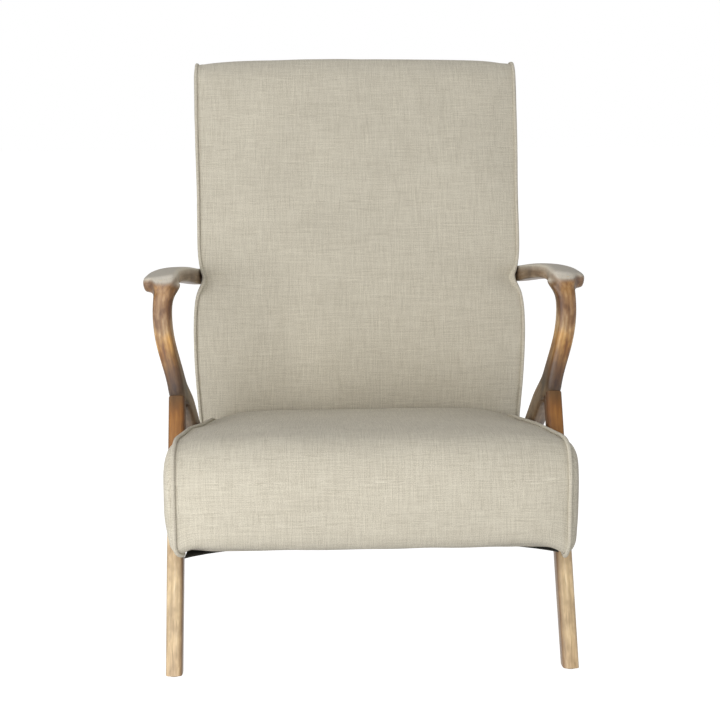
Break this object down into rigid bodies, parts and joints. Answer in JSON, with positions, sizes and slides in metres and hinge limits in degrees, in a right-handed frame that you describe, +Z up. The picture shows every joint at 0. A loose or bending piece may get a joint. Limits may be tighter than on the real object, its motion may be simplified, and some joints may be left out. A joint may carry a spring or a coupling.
{
  "type": "armchair",
  "caption": "High-back upholstered lounge chair in greige linen, hung between sculpted open wooden side frames with paddle arms.",
  "frame": {"origin": "centre of the chair's footprint, on the floor", "axes": "+Z up, the sitter faces -Y, +X to the right in a view from the front"},
  "size_m": [0.7442, 0.7456, 0.968],
  "materials": {
    "linen": "plain linen weave",
    "frame_wood": "oiled teak, satin",
    "front_leg_wood": "bleached, worn wood, satin",
    "hidden_wood": "planed beech",
    "felt": "pressed felt",
    "foam": "open cell foam",
    "webbing": "elastic webbing",
    "lining": "thin black lining",
    "steel": "zinc plated"
  },
  "bodies": {
    "root": {"arm_left": "frame_wood", "arm_right": "frame_wood", "rear_leg_left": "frame_wood", "rear_leg_right": "frame_wood", "front_leg_left": "front_leg_wood", "front_leg_right": "front_leg_wood", "arm_dowels": "hidden_wood", "knee_dowels": "hidden_wood", "foot_glides": "felt", "seat_front_rail": "hidden_wood", "seat_rear_rail": "hidden_wood", "seat_side_rail_left": "hidden_wood", "seat_side_rail_right": "hidden_wood", "seat_corner_blocks": "hidden_wood", "seat_webbing_long": "webbing", "seat_webbing_cross": "webbing", "seat_foam": "foam", "seat_cover": "linen", "seat_side_panel_left": "linen", "seat_side_panel_right": "linen", "seat_welt_left": "linen", "seat_welt_right": "linen", "dust_cover": "lining", "seat_bolts": "steel", "seat_nuts": "steel", "seat_spacers": "steel", "back_stile_left": "hidden_wood", "back_stile_right": "hidden_wood", "back_top_rail": "hidden_wood", "back_middle_rail": "hidden_wood", "back_bottom_rail": "hidden_wood", "back_webbing": "webbing", "back_foam": "foam", "back_cover": "linen", "back_side_panel_left": "linen", "back_side_panel_right": "linen", "back_welt_left": "linen", "back_welt_right": "linen", "back_rear_panel": "linen", "arm_bolts": "steel", "arm_nuts": "steel", "arm_spacers": "steel", "back_brackets": "steel", "bracket_bolts": "steel"}
  },
  "joints": []
}
